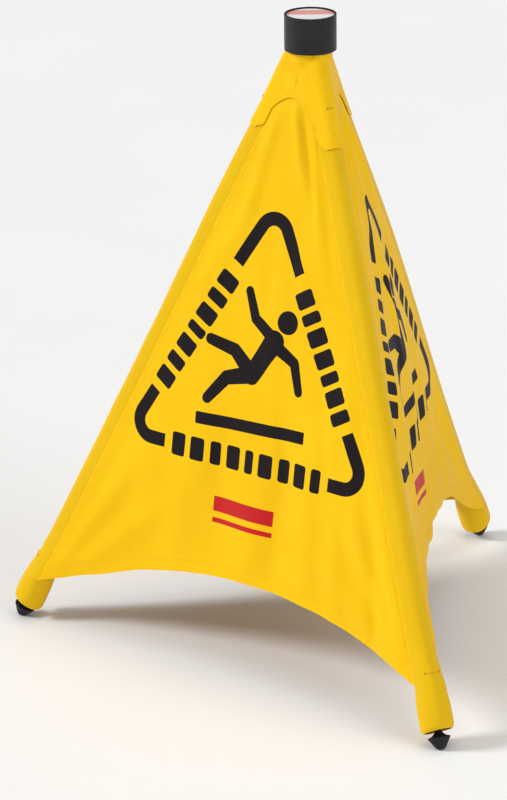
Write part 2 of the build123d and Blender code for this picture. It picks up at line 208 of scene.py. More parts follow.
# ---------------------------------------------------------------- the cover's shape
# The cover's lower edge on each face, as (across, up) points in millimetres.
HEMS = {
    "front": curve_through(
        [(-190, 34), (-176, 38.5), (-162, 43), (-151, 47), (-130, 53), (-112, 59.3), (-93, 65.5), (-74, 69.8),
         (-55, 73.4), (-35, 76.2), (-15, 78), (5, 78.6), (25, 78.4), (45, 77.4), (65, 75.2), (84, 72.4),
         (104, 68.4), (125, 62.8), (145, 56.6), (162, 51.2), (176, 46.6), (190, 41)]
    ),
    "right": curve_through(
        [(-190, 37), (-176, 42), (-160, 48), (-140, 55), (-120, 61.5), (-95, 69), (-70, 75), (-45, 79),
         (-20, 81.5), (5, 83), (29, 84), (50, 84), (70, 83), (91, 80.3), (110, 75.5), (125, 69),
         (138, 60.5), (148, 53), (160, 44.5), (168, 39.5), (178, 34.5), (190, 30)]
    ),
    "left": curve_through(
        [(-190, 31), (-174, 37), (-150, 46), (-120, 56), (-90, 65), (-55, 72), (-20, 75.5), (20, 75),
         (60, 70.5), (90, 64), (115, 55), (137, 45.5), (155, 37), (170, 30.5), (182, 26.5), (192, 24)]
    ),
}

# How far each face bows in over its lower edge and out near its top, in millimetres.
BOWS = {"front": (-8.0, 1.2), "right": (-14.5, 1.6), "left": (-9.0, 2.0)}

# The yoke's lower edge on each face, as (across, up) points in millimetres.
YOKE_EDGES = {
    "front": curve_through(
        [(-60, 421), (-50, 421.3), (-43, 423.5), (-36, 428.5), (-28, 437), (-20, 446.5), (-12, 453.5),
         (-4, 457), (4, 456), (11, 448.5), (18, 439.5), (25, 430.5), (31, 424.5), (38, 421.5), (60, 421)]
    ),
    "right": curve_through(
        [(-60, 422), (-42, 422.6), (-32, 426.5), (-23, 435.5), (-12, 449), (0, 456), (11, 451), (21, 439),
         (30, 428.5), (40, 423), (60, 422)]
    ),
    "left": curve_through(
        [(-60, 422), (-42, 422.6), (-32, 427), (-21, 440), (-11, 451.5), (0, 456.5), (12, 450), (22, 438),
         (31, 428), (42, 423), (60, 422)]
    ),
}

# Soft folds of each face, in millimetres: from (across, up) to (across, up), half width, height.
FOLDS = {
    "front": [
        (183, 52, 142, 245, 7.5, 2.6),
        (176, 48, 112, 205, 7.0, 2.3),
        (170, 46, 92, 165, 7.0, 2.0),
        (187, 66, 158, 190, 4.5, -1.8),
        (160, 50, 55, 140, 8.0, 1.5),
        (140, 58, 118, 170, 6.0, -1.3),
        (-182, 50, -128, 200, 8.0, 1.9),
        (-172, 46, -96, 170, 8.0, 1.7),
        (-160, 48, -62, 135, 8.5, 1.3),
        (-64, 78, -46, 260, 13.0, 1.3),
        (-26, 78, -20, 210, 11.0, -0.9),
        (8, 80, 6, 160, 10.0, 1.0),
        (34, 78, 30, 240, 10.0, -1.1),
        (66, 74, 52, 250, 11.0, 1.5),
        (98, 66, 72, 260, 9.0, 1.3),
        (-14, 448, -34, 330, 5.5, 1.1),
        (2, 452, 19, 395, 3.4, 1.5),
        (10, 444, 34, 372, 3.2, -1.1),
        (22, 436, 44, 345, 3.2, 1.3),
        (33, 430, 60, 320, 3.6, -1.1),
        (-96, 120, -60, 300, 12.0, 1.0),
        (110, 130, 74, 310, 7.0, 1.0),
    ],
    "right": [
        (-184, 55, -132, 230, 7.5, 2.6),
        (-172, 62, -74, 305, 4.2, -5.2),
        (-80, 290, -19, 440, 3.4, -5.0),
        (-140, 130, -36, 370, 17.0, -1.3),
        (-174, 50, -98, 190, 8.0, 2.1),
        (-160, 52, -70, 150, 8.0, 1.6),
        (-122, 70, -96, 250, 8.0, -1.4),
        (-70, 76, -62, 290, 9.0, 1.6),
        (-30, 80, -28, 260, 9.0, -1.2),
        (6, 80, 2, 300, 10.0, 1.7),
        (40, 78, 34, 250, 9.0, -1.1),
        (74, 74, 58, 260, 9.0, 1.5),
        (120, 62, 84, 230, 9.0, 1.1),
        (178, 48, 120, 190, 8.0, 1.8),
        (168, 46, 86, 150, 8.0, 1.4),
        (-8, 448, -22, 340, 4.2, 1.4),
        (8, 446, 22, 350, 4.0, -1.2),
        (20, 432, 44, 330, 4.0, 1.1),
    ],
    "left": [
        (-182, 50, -130, 210, 8.0, 2.2),
        (-172, 48, -94, 170, 8.0, 1.8),
        (-158, 50, -64, 140, 8.0, 1.3),
        (-88, 70, -66, 240, 10.0, -1.2),
        (-44, 76, -36, 270, 11.0, 1.4),
        (-4, 80, -6, 220, 11.0, -1.0),
        (32, 78, 28, 280, 11.0, 1.3),
        (72, 72, 54, 230, 9.0, -1.2),
        (104, 66, 80, 250, 9.0, 1.2),
        (180, 50, 134, 220, 8.0, 2.3),
        (170, 46, 98, 180, 8.0, 1.9),
        (156, 50, 70, 145, 8.0, 1.4),
        (-10, 450, -26, 345, 4.6, 1.3),
        (6, 448, 16, 360, 4.0, -1.1),
        (18, 438, 36, 340, 4.0, 1.2),
    ],
}


def small_folds(seed):
    """Slight extra folds that lean towards the nearer foot."""
    rng = np.random.default_rng(seed)
    made = []
    for _ in range(26):
        t = rng.uniform(85, 380)
        reach = 0.40 * (470 - t)
        s = rng.uniform(-reach, reach)
        length = rng.uniform(40, 110)
        lean = 0.40 * s / max(reach, 1.0) + rng.uniform(-0.10, 0.10)
        made.append(
            (
                s + lean * length / 2,
                t - length / 2,
                s - lean * length / 2,
                t + length / 2,
                rng.uniform(4.0, 9.0),
                rng.choice([-1, 1]) * rng.uniform(0.25, 0.65),
            )
        )
    return made


for number, face_name in enumerate(FOLDS):
    FOLDS[face_name] = FOLDS[face_name] + small_folds(41 + number)


def folds_at(face, s, t):
    """Height of the cloth's folds over the face's plane, for points in metres."""
    s, t = s / MM, t / MM
    height = np.zeros(np.shape(s))
    for s1, t1, s2, t2, width, tall in FOLDS[face.name]:
        length = math.hypot(s2 - s1, t2 - t1)
        es, et = (s2 - s1) / length, (t2 - t1) / length
        along = ((s - s1) * es + (t - t1) * et) / length
        side = (s - s1) * -et + (t - t1) * es
        spread = width * (1 + 0.5 * np.clip(along, 0, 1))
        ends = smooth((along + 0.12) / 0.30) * smooth((1.12 - along) / 0.55)
        height = height + tall * ends * np.exp(-((side / spread) ** 2))
    leg_s = (PIN_U + (PIN_T - t * MM) * DU / -DT) / MM
    crown = np.cos(np.clip(np.abs(s) / leg_s, 0, 1) * math.pi / 2) ** 0.7
    low, high = BOWS[face.name]
    bow = low * smooth((250 - t) / 175) + high * smooth((t - 240) / 90) * smooth((470 - t) / 90)
    return (FOLD_GAIN * height + bow * crown) * MM


def rho_at(run, leg):
    """Outer radius of the cloth round a leg: loose higher up, a pocket at the foot, drawn in at its end."""
    much, where = LOOSE[leg.name]
    rising = smooth((run - LOOSE_FROM) / (where - LOOSE_FROM))
    loose = much * rising * smooth((where + LOOSE_FADE - run) / LOOSE_FADE)
    slow = 0.0008 * smooth((run - 0.250) / 0.200)
    pocket = (POCKET_RHO - RHO - 0.0008) * smooth((run - 0.450) / 0.058)
    end = 0.0017 * np.clip((run - (POCKET_END - 0.0050)) / 0.0050, 0, 1) ** 2.6
    return RHO + slow + pocket - end + loose


def hem_gap(half, u, t):
    """Distance up from the hem's edge, at right angles to it."""
    s = half.side * u
    hem = HEMS[half.face.name]
    slope = (hem(s / MM + 1.0) - hem(s / MM - 1.0)) / 2.0
    return (t - hem(s / MM) * MM) / np.sqrt(1 + slope**2)


def groove(distance, half_width, deep):
    """Depth of a soft groove at a distance from its middle."""
    return -deep * np.exp(-((distance / half_width) ** 2))


def pleats(leg, turn, run):
    """Slight lengthwise creases round the outside of a sleeve. turn is the angle from its ridge."""
    seed = 1.7 * LEG_NAMES.index(leg.name)
    near = smooth((run - 0.40) / 0.08)
    inside = np.cos(np.clip(turn / WRAP, -1, 1) * math.pi / 2) ** 2
    crease = 0.00050 * near * np.sin(turn * 5.0 + seed + (run - 0.45) * 26.0)
    crease = crease - 0.00075 * near * np.exp(-(((turn + 0.10 - (run - 0.50) * 7.0) / 0.16) ** 2))
    waves = 0.00022 * np.sin(run * 70 + seed * 3) * np.sin(turn * 2.0 + run * 31 + seed)
    tack = -0.0007 * np.exp(-(((run - 0.470) / 0.0035) ** 2)) * np.exp(-(((turn - 0.16) / 0.5) ** 2))
    return inside * (crease + waves + tack)


def skin(half, q, run, lift=0.0):
    """Points of the cover's outer surface.

    q is the distance outside the leg's line: up to 0 on the flat of the face, above 0 round the sleeve.
    run is the distance down the leg, and lift raises the surface.
    """
    q, run = np.broadcast_arrays(np.asarray(q, float), np.asarray(run, float))
    face, leg = half.face, half.leg
    rho = rho_at(run, leg)
    u, t = to_face(q, run)
    s = half.side * u
    inward = -q
    flare = (rho - RHO) * (1 - smooth(inward / 0.040))
    fade = smooth((inward - 0.004) / 0.016)
    height = RHO + flare + fade * folds_at(face, s, t)
    height = height + groove(inward - FLANGE, 0.0011, 0.00040)
    height = height + groove(inward - SEAM_IN, 0.0008, 0.00008)
    gap = hem_gap(half, u, t)
    height = height + groove(gap - HEM_STITCH, 0.0008, 0.00025) * smooth((inward - 0.006) / 0.006)
    height = height + lift
    flat = face.foot + s[..., None] * face.across + t[..., None] * face.up + height[..., None] * face.out
    phi = np.clip(q, 0, Q_RIDGE) / RHO
    turn = half.side * (WRAP - phi)
    radius = rho + pleats(leg, turn, run) + lift
    outwards = np.cos(phi)[..., None] * face.out + np.sin(phi)[..., None] * half.edge
    round_it = leg.pin + run[..., None] * leg.down + radius[..., None] * outwards
    return clear_hub(np.where((q > 0)[..., None], round_it, flat), lift)


def clear_hub(points, lift):
    """Pushes points out from the head's axis to where the cloth lies round the hub."""
    wanted = NECK_R + lift - np.clip(HUB_FOOT_Z - points[..., 2], 0, None) * 0.40
    reach = np.maximum(np.hypot(points[..., 0], points[..., 1]), 1e-6)
    over = (wanted - reach) / 0.0006
    extra = 0.0006 * np.where(over > 30, over, np.log1p(np.exp(np.minimum(over, 30))))
    grow = 1 + extra / reach
    return points * np.stack([grow, grow, np.ones_like(grow)], axis=-1)


def skin_normal(half, q, run, lift=0.0):
    """Unit normals of the cover's outer surface."""
    step = 0.00025
    q = np.minimum(q, Q_RIDGE)
    ahead = np.minimum(q + step, Q_RIDGE)
    dq = skin(half, ahead, run, lift) - skin(half, q - step, run, lift)
    dr = skin(half, q, run + step, lift) - skin(half, q, run - step, lift)
    n = np.cross(dr, dq) * half.side
    return n / np.linalg.norm(n, axis=-1, keepdims=True)


# ---------------------------------------------------------------- the print, in millimetres on a face
def stroke(points, width):
    """A band of that width along a line, as one polygon."""
    p = np.array(points, float)
    d = np.gradient(p, axis=0)
    d /= np.linalg.norm(d, axis=1)[:, None]
    n = np.stack([-d[:, 1], d[:, 0]], axis=1) * width / 2
    return np.vstack([p + n, (p - n)[::-1]])


def arc(centre, radius, start, end, count):
    """Points along an arc, with its angles in degrees."""
    a = np.radians(np.linspace(start, end, count))
    return [(centre[0] + radius * math.cos(x), centre[1] + radius * math.sin(x)) for x in a]


def along(a, b, spacing=3.0):
    """Evenly spaced points from a to b."""
    count = max(2, int(math.dist(a, b) / spacing) + 1)
    return [tuple(p) for p in np.linspace(a, b, count)]


def rounded_block(centre, angle, width, height, radius):
    """The outline of a turned block with rounded corners."""
    c, s = math.cos(angle), math.sin(angle)
    made = []
    for x, y, start in ((1, 1, 0), (-1, 1, 90), (-1, -1, 180), (1, -1, 270)):
        corner = (x * (width / 2 - radius), y * (height / 2 - radius))
        for px, py in arc(corner, radius, start, start + 90, 4):
            made.append((centre[0] + px * c - py * s, centre[1] + px * s + py * c))
    return np.array(made)


def limb(a, b, ra, rb):
    """The outline of a straight limb that tapers from radius ra to rb."""
    angle = math.degrees(math.atan2(b[1] - a[1], b[0] - a[0]))
    return np.array(
        arc(b, rb, angle - 90, angle + 90, 9) + arc(a, ra, angle + 90, angle + 270, 9)
    )


BORDER = 10.8  # width of the border's stroke
BORDER_TOP = 376.0  # where the two sloping sides would meet
BORDER_FOOT = 172.5
BORDER_SLOPE = math.radians(60.3)
BORDER_BEND = 13.0  # radius of the border's corners
BORDER_TOP_ENDS = {-1: 323.5, 1: 324.5}  # height where the top stroke ends on each side
BORDER_LOW_ENDS = {-1: 211.5, 1: 214.5}  # height where each lower stroke ends
BORDER_FOOT_END = 79.0  # how far out each lower stroke's foot starts


def side_point(side, t):
    """The point at height t on a sloping side of the border."""
    return (side * (BORDER_TOP - t) / math.tan(BORDER_SLOPE), t)


def border_parts():
    """The border's three strokes: one over the top corner and one round each lower corner."""
    top_centre = (0.0, BORDER_TOP - BORDER_BEND / math.cos(BORDER_SLOPE))
    slope = math.degrees(BORDER_SLOPE)
    start, end = (side_point(side, BORDER_TOP_ENDS[side]) for side in (-1, 1))
    bend = arc(top_centre, BORDER_BEND, 90 + slope, 90 - slope, 13)
    parts = [along(start, bend[0])[:-1] + bend + along(bend[-1], end)[1:]]
    half_base = (BORDER_TOP - BORDER_FOOT) / math.tan(BORDER_SLOPE)
    inset = BORDER_BEND / math.tan(BORDER_SLOPE / 2)
    for side in (-1, 1):
        centre = (side * (half_base - inset), BORDER_FOOT + BORDER_BEND)
        bend = arc(centre, BORDER_BEND, 90 - side * slope, 90 - side * 180, 11)
        upper = side_point(side, BORDER_LOW_ENDS[side])
        lower = (side * BORDER_FOOT_END, BORDER_FOOT)
        parts.append(along(upper, bend[0])[:-1] + bend + along(bend[-1], lower)[1:])
    return parts


def block_row(start, end, widths, height):
    """Plain blocks in a row, in the place of a word."""
    start, end = np.array(start, float), np.array(end, float)
    length = float(np.linalg.norm(end - start))
    direction = (end - start) / length
    angle = math.atan2(direction[1], direction[0])
    gap = (length - sum(widths)) / (len(widths) - 1)
    made, at = [], 0.0
    for w in widths:
        centre = start + direction * (at + w / 2)
        made.append(rounded_block(centre, angle, w, height, 2.2))
        at += w + gap
    return made


PRINT_BLACK = [stroke(p, BORDER) for p in border_parts()]
PRINT_BLACK += block_row((-88, 217), (-34, 313), [13, 10, 13, 8, 13, 10, 13], 18.0)
PRINT_BLACK += block_row((34, 313), (86, 221), [13, 9, 13, 13, 9, 13, 10], 18.0)
PRINT_BLACK += block_row((-72, 172.5), (72, 172.5), [13, 13, 9, 13, 8, 13, 10, 13, 9], 18.5)
PRINT_BLACK += [rounded_block((0, 199.8), 0.045, 103, 9.6, 1.0)]
PRINT_BLACK += [
    np.array(arc((23.5, 286.5), 9.2, 0, 342, 20)),
    limb((13.5, 270.0), (-4.5, 240.0), 9.0, 7.6),
    limb((-4.5, 240.5), (-28.0, 233.5), 7.0, 5.6),
    limb((-28.0, 233.5), (-43.0, 214.5), 5.4, 4.4),
    limb((-4.5, 241.0), (-23.0, 256.0), 7.0, 5.6),
    limb((-23.0, 256.0), (-47.0, 260.5), 5.4, 4.4),
    limb((15.0, 267.0), (34.0, 257.0), 5.2, 4.4),
    limb((34.0, 257.0), (41.0, 236.0), 4.4, 3.8),
    limb((11.0, 273.0), (-7.0, 284.0), 5.2, 4.4),
    limb((-7.0, 284.0), (-15.5, 304.0), 4.4, 3.8),
]
PRINT_RED = [
    rounded_block((0.0, 133.0), 0.0, 58.0, 12.0, 0.6),
    rounded_block((0.0, 120.0), 0.0, 58.0, 4.0, 0.4),
]

# How far the print sits from its drawn place on each face: across, up.
PRINT_PLACE = {"front": (-1.2, 1.6), "right": (2.0, 4.5), "left": (0.0, 1.0)}


def inside(polygon, x, y):
    """Whether each point lies in the polygon, by counting crossings."""
    found = np.zeros(len(x), bool)
    px, py = polygon[:, 0], polygon[:, 1]
    for i in range(len(polygon)):
        ax, ay, bx, by = px[i - 1], py[i - 1], px[i], py[i]
        if ay == by:
            continue
        found ^= ((ay > y) != (by > y)) & (x < (bx - ax) * (y - ay) / (by - ay) + ax)
    return found


# ---------------------------------------------------------------- materials
def new_material(name, base, roughness):
    """A material with its node tree and its main shader."""
    material = bpy.data.materials.new(name)
    material.use_nodes = True
    tree = material.node_tree
    shader = tree.nodes["Principled BSDF"]
    shader.inputs["Base Color"].default_value = (*base, 1.0)
    shader.inputs["Roughness"].default_value = roughness
    return material, tree, shader


def node(tree, kind, **values):
    """A new node with inputs or settings given by name."""
    made = tree.nodes.new(kind)
    for key, value in values.items():
        if key in made.inputs:
            made.inputs[key].default_value = value
        else:
            setattr(made, key, value)
    return made


def coordinates(tree, uv):
    """Where a texture is laid: on the UV map, or in the object's own space."""
    source = tree.nodes.new("ShaderNodeTexCoord")
    return source.outputs["UV" if uv else "Object"]


def map_range(tree, value, from_min, from_max, to_min, to_max, kind="LINEAR"):
    """Maps an output from one range to another."""
    spread = node(tree, "ShaderNodeMapRange", interpolation_type=kind)
    ends = {"From Min": from_min, "From Max": from_max, "To Min": to_min, "To Max": to_max}
    for socket, end in ends.items():
        spread.inputs[socket].default_value = end
    tree.links.new(value, spread.inputs["Value"])
    return spread.outputs["Result"]


def noise_between(tree, place, scale, low, high, detail=4.0, roughness=0.55):
    """A noise texture mapped to run between two values."""
    noise = node(tree, "ShaderNodeTexNoise", Scale=scale, Detail=detail, Roughness=roughness)
    tree.links.new(place, noise.inputs["Vector"])
    return map_range(tree, noise.outputs["Fac"], 0.3, 0.7, low, high)


def bumps(tree, shader, layers):
    """Chains (height output, distance in metres, strength) layers into the shader's normal."""
    last = None
    for height, distance, strength in layers:
        bump = node(tree, "ShaderNodeBump", Distance=distance, Strength=strength)
        tree.links.new(height, bump.inputs["Height"])
        if last is not None:
            tree.links.new(last, bump.inputs["Normal"])
        last = bump.outputs["Normal"]
    tree.links.new(last, shader.inputs["Normal"])


def noise_height(tree, place, scale, detail=3.0):
    """A plain noise to use as a height."""
    noise = node(tree, "ShaderNodeTexNoise", Scale=scale, Detail=detail)
    tree.links.new(place, noise.inputs["Vector"])
    return noise.outputs["Fac"]


def weave_height(tree, place, per_metre):
    """A plain weave: two sets of fine waves, multiplied."""
    outputs = []
    for direction in ("X", "Y"):
        wave = node(tree, "ShaderNodeTexWave", bands_direction=direction, Scale=per_metre / 20.0)
        tree.links.new(place, wave.inputs["Vector"])
        outputs.append(wave.outputs["Fac"])
    product = node(tree, "ShaderNodeMath", operation="MULTIPLY")
    tree.links.new(outputs[0], product.inputs[0])
    tree.links.new(outputs[1], product.inputs[1])
    return product.outputs["Value"]


def colour_mix(tree, factor, first, second):
    """Mixes two colours by a factor output, through the colour sockets of a Mix node."""
    mix = tree.nodes.new("ShaderNodeMix")
    mix.data_type = "RGBA"
    mix.inputs[6].default_value = (*first, 1.0)
    mix.inputs[7].default_value = (*second, 1.0)
    tree.links.new(factor, mix.inputs[0])
    return mix.outputs[2]


def cloth_material(name, first, second, roughness, shine=0.5):
    """Coated cloth: a tone that drifts between two colours, an uneven gloss, soft dents and a fine weave."""
    material, tree, shader = new_material(name, first, roughness)
    shader.inputs["Specular IOR Level"].default_value = shine
    place = coordinates(tree, True)
    tint = noise_between(tree, place, 9.0, 0.0, 1.0, detail=2.0)
    tree.links.new(colour_mix(tree, tint, first, second), shader.inputs["Base Color"])
    gloss = noise_between(tree, place, 38.0, roughness - 0.05, roughness + 0.07)
    tree.links.new(gloss, shader.inputs["Roughness"])
    bumps(
        tree,
        shader,
        [
            (noise_height(tree, place, 26.0, 2.0), 0.0012, 0.45),
            (noise_height(tree, place, 95.0, 3.0), 0.00020, 0.40),
            (weave_height(tree, place, 2600.0), 0.00004, 0.30),
        ],
    )
    return material


def plain_material(name, base, roughness, grain, deep, metallic=0.0, shine=0.5):
    """A moulded or metal surface: a slightly uneven tone, an uneven polish and a fine grain."""
    material, tree, shader = new_material(name, base, roughness)
    shader.inputs["Metallic"].default_value = metallic
    shader.inputs["Specular IOR Level"].default_value = shine
    place = coordinates(tree, False)
    tint = noise_between(tree, place, 60.0, 0.0, 1.0)
    lighter = tuple(min(1.0, c * 1.22 + 0.004) for c in base)
    tree.links.new(colour_mix(tree, tint, base, lighter), shader.inputs["Base Color"])
    gloss = noise_between(tree, place, 140.0, roughness - 0.04, roughness + 0.08)
    tree.links.new(gloss, shader.inputs["Roughness"])
    bumps(tree, shader, [(noise_height(tree, place, grain, 4.0), deep, 0.5)])
    return material


YELLOW = (0.900, 0.545, 0.008)
YELLOW_DEEP = (0.870, 0.505, 0.006)
PAINTED_SHADE_SLEEVE = (0.800, 0.495, 0.008)  # painted shade: darker than the faces, for the sleeve's shade and for less light coming through the cloth doubled over the pole
PAINTED_SHADE_SLEEVE_DEEP = (0.760, 0.460, 0.006)
INK = (0.013, 0.010, 0.011)

yellow = cloth_material("coated_nylon", YELLOW, YELLOW_DEEP, 0.44, shine=0.05)
# painted shade: the sleeves' cloth takes darker colours than the faces' cloth, for the shade along them
painted_shade_sleeve_yellow = cloth_material("nylon_over_pole_painted_shade", PAINTED_SHADE_SLEEVE, PAINTED_SHADE_SLEEVE_DEEP, 0.42, shine=0.07)
inner_yellow = cloth_material("nylon_back", (0.80, 0.47, 0.010), (0.74, 0.42, 0.009), 0.62, shine=0.04)
ink = cloth_material("black_print", INK, (0.018, 0.014, 0.016), 0.50, shine=0.05)
ink_through = cloth_material("print_showing_through", (0.055, 0.036, 0.008), (0.080, 0.050, 0.010), 0.60)
red_print = cloth_material("red_print", (0.56, 0.010, 0.010), (0.50, 0.009, 0.010), 0.46, shine=0.2)
thread = plain_material("stitching_thread", (0.78, 0.40, 0.006), 0.60, 2200.0, 0.0001, shine=0.2)
# painted shade: dark thread at each end of a bar tack, for the shade in its needle holes
hole_shade_thread = plain_material("tack_thread", (0.16, 0.09, 0.012), 0.65, 2200.0, 0.0001)
black_gloss = plain_material("cap_plastic", (0.015, 0.014, 0.015), 0.38, 420.0, 0.00005, shine=0.20)
black_moulding = plain_material("moulding_plastic", (0.015, 0.014, 0.016), 0.48, 700.0, 0.00008, shine=0.18)
rubber = plain_material("black_rubber", (0.013, 0.012, 0.013), 0.52, 900.0, 0.00010, shine=0.16)
zinc = plain_material("zinc_plate", (0.60, 0.60, 0.61), 0.30, 600.0, 0.00003, metallic=1.0)


def tube_material():
    """Drawn metal tube."""
    material, tree, shader = new_material("drawn_aluminium", (0.70, 0.71, 0.72), 0.32)
    shader.inputs["Metallic"].default_value = 1.0
    place = coordinates(tree, False)
    gloss = noise_between(tree, place, 220.0, 0.24, 0.42)
    tree.links.new(gloss, shader.inputs["Roughness"])
    shader.inputs["Anisotropic"].default_value = 0.5
    bumps(tree, shader, [(noise_height(tree, place, 800.0), 0.00003, 0.4)])
    return material


def label_material():
    """A plain pale disc with one red band across its rear part."""
    material, tree, shader = new_material("label_card", (0.86, 0.85, 0.84), 0.34)
    place = coordinates(tree, False)
    turn = node(tree, "ShaderNodeMapping", vector_type="POINT")
    turn.inputs["Rotation"].default_value = (0.0, 0.0, math.radians(-38.0))
    tree.links.new(place, turn.inputs["Vector"])
    parts = node(tree, "ShaderNodeSeparateXYZ")
    tree.links.new(turn.outputs["Vector"], parts.inputs["Vector"])
    middle = node(tree, "ShaderNodeMath", operation="SUBTRACT")
    middle.inputs[1].default_value = 0.0070
    tree.links.new(parts.outputs["Y"], middle.inputs[0])
    away = node(tree, "ShaderNodeMath", operation="ABSOLUTE")
    tree.links.new(middle.outputs["Value"], away.inputs[0])
    band = map_range(tree, away.outputs["Value"], 0.0062, 0.0070, 1.0, 0.0, "SMOOTHSTEP")
    colour = colour_mix(tree, band, (0.88, 0.87, 0.86), (0.80, 0.34, 0.31))
    tree.links.new(colour, shader.inputs["Base Color"])
    bumps(tree, shader, [(noise_height(tree, place, 500.0), 0.00003, 0.3)])
    return material


tube_metal = tube_material()
label_card = label_material()
spring_steel = plain_material("spring_steel", (0.42, 0.42, 0.44), 0.34, 500.0, 0.00003, metallic=1.0)


# ---------------------------------------------------------------- meshes
def build_mesh(name, points, faces, kinds, uv, normals, materials):
    """A mesh whose corners take the normals given, one per corner of each face, or None for the face's own."""
    mesh = bpy.data.meshes.new(name)
    mesh.from_pydata([tuple(p) for p in points], [], [tuple(f) for f in faces])
    for material in materials:
        mesh.materials.append(material)
    mesh.polygons.foreach_set("material_index", kinds)
    mesh.polygons.foreach_set("use_smooth", [True] * len(faces))
    layer = mesh.uv_layers.new(name="UVMap")
    corners = np.zeros(len(mesh.loops), np.int32)
    mesh.loops.foreach_get("vertex_index", corners)
    layer.data.foreach_set("uv", np.asarray(uv, np.float32)[corners].ravel())
    mesh.update()
    if normals is not None:
        flat = np.zeros(len(mesh.polygons) * 3)
        mesh.polygons.foreach_get("normal", flat)
        flat = flat.reshape(-1, 3)
        wanted = []
        for f, given in enumerate(normals):
            count = len(faces[f])
            wanted += [tuple(flat[f])] * count if given is None else [tuple(n) for n in given]
        mesh.normals_split_custom_set(wanted)
    made = bpy.data.objects.new(name, mesh)
    bpy.context.scene.collection.objects.link(made)
    return made


def thick_sheet(name, points, normals, triangles, kinds, uv, thickness, materials, back_kinds):
    """A closed sheet: an outer layer, an inner layer under it and a rim round every free edge."""
    count = len(points)
    thickness = np.broadcast_to(thickness, count)
    inner = points - normals * thickness[:, None]
    triangles = np.asarray(triangles)
    ends = points[triangles]
    facing = np.cross(ends[:, 1] - ends[:, 0], ends[:, 2] - ends[:, 0])
    wrong = np.einsum("ij,ij->i", facing, normals[triangles[:, 0]]) < 0
    triangles[wrong] = triangles[wrong][:, ::-1]
    faces, corner_normals = [], []
    edges = {}  # in the order met, which the rim's faces keep
    for a, b, c in triangles.tolist():
        faces.append((a, b, c))
        corner_normals.append((normals[a], normals[b], normals[c]))
        edges.update(dict.fromkeys(((a, b), (b, c), (c, a))))
    for a, b, c in triangles.tolist():
        faces.append((c + count, b + count, a + count))
        corner_normals.append((-normals[c], -normals[b], -normals[a]))
    all_kinds = list(kinds) + list(back_kinds)
    for a, b in edges:
        if (b, a) not in edges:
            faces.append((b, a, a + count, b + count))
            corner_normals.append(None)
            all_kinds.append(0)
    both = np.vstack([points, inner])
    return build_mesh(
        name, both, faces, all_kinds, np.vstack([uv, uv]), corner_normals, materials
    )


def yoke_sheet(name, points, normals, triangles, uv):
    """One piece of the yoke, as a thick sheet with the cloth's plain back."""
    count = len(triangles)
    made = thick_sheet(
        name, points, normals, triangles, [0] * count, uv, CLOTH, [yellow, inner_yellow], [1] * count
    )
    return made


def clear_of(points, lines, gap):
    """Which points lie at least gap from every line, in millimetres."""
    keep = np.ones(len(points), bool)
    for line in lines:
        a, b = line[:-1], line[1:]
        for start, end in zip(a, b):
            low, high = np.minimum(start, end) - gap, np.maximum(start, end) + gap
            near = keep & np.all((points > low) & (points < high), axis=1)
            if not near.any():
                continue
            p = points[near] - start
            d = end - start
            f = np.clip((p @ d) / max(float(d @ d), 1e-12), 0, 1)
            away = np.linalg.norm(p - f[:, None] * d, axis=1)
            keep[np.flatnonzero(near)[away < gap]] = False
    return keep


def closed(polygon):
    """The polygon with its first point again at the end."""
    return np.vstack([polygon, polygon[:1]])


def resample(points, spacing):
    """A polyline cut to about that spacing, with its own corners kept."""
    made = [points[0]]
    for a, b in zip(points[:-1], points[1:]):
        count = max(1, int(math.ceil(math.dist(a, b) / spacing)))
        made += [a + (b - a) * (i + 1) / count for i in range(count)]
    return np.array(made)


def triangulate(outline, lines, polygons):
    """Triangles inside an outline, in millimetres, with an edge along every line and polygon given."""
    low, high = outline.min(0), outline.max(0)
    rows = np.arange(low[1], high[1], GRID * 0.87)
    grid = []
    for i, y in enumerate(rows):
        x = np.arange(low[0] + (GRID / 2 if i % 2 else 0.0), high[0], GRID)
        grid.append(np.stack([x, np.full(len(x), y)], axis=1))
    grid = np.vstack(grid)
    grid = grid[inside(outline, grid[:, 0], grid[:, 1])]
    ring = resample(closed(outline), GRID)
    drawn = [ring] + [resample(x, GRID) for x in lines]
    drawn += [resample(closed(x), GRID) for x in polygons]
    grid = grid[clear_of(grid, drawn, 0.9)]
    points = [Vector(p) for p in grid]
    edges = []
    for line in drawn:
        first = len(points)
        points += [Vector(p) for p in line]
        edges += [(first + i, first + i + 1) for i in range(len(line) - 1)]
    found = delaunay_2d_cdt(points, edges, [], 0, 1e-4)
    corners = np.array([tuple(v) for v in found[0]])
    triangles = np.array([f for f in found[2] if len(f) == 3])
    middle = corners[triangles].mean(axis=1)
    ahead = corners[triangles[:, 1]] - corners[triangles[:, 0]]
    beside = corners[triangles[:, 2]] - corners[triangles[:, 0]]
    # Straight stretches of the outline also give slivers that lie outside it.
    wide = np.abs(ahead[:, 0] * beside[:, 1] - ahead[:, 1] * beside[:, 0]) > 0.002
    triangles = triangles[inside(outline, middle[:, 0], middle[:, 1]) & wide]
    used, back = np.unique(triangles, return_inverse=True)
    return corners[used], back.reshape(-1, 3)


def edge_end(half, edges, from_u, to_u):
    """Where a half face's lower edge meets its seam, as (u, t) in metres."""
    for u in np.arange(from_u, to_u, 0.00005):
        t = float(edges[half.face.name](half.side * u / MM)) * MM
        if to_leg(u, t)[0] > -(FLANGE - LAP):
            return u, t
    raise ValueError("the edge doesn't meet the seam")


def hem_end(half):
    """Where a half face's hem meets its seam, as (u, t) in metres."""
    return edge_end(half, HEMS, 0.150, 0.200)


def seam_point(t):
    """u on a half face's seam line at height t, in metres."""
    q = -(FLANGE - LAP)
    run = (t - PIN_T - q * DU) / DT
    return to_face(q, run)[0]


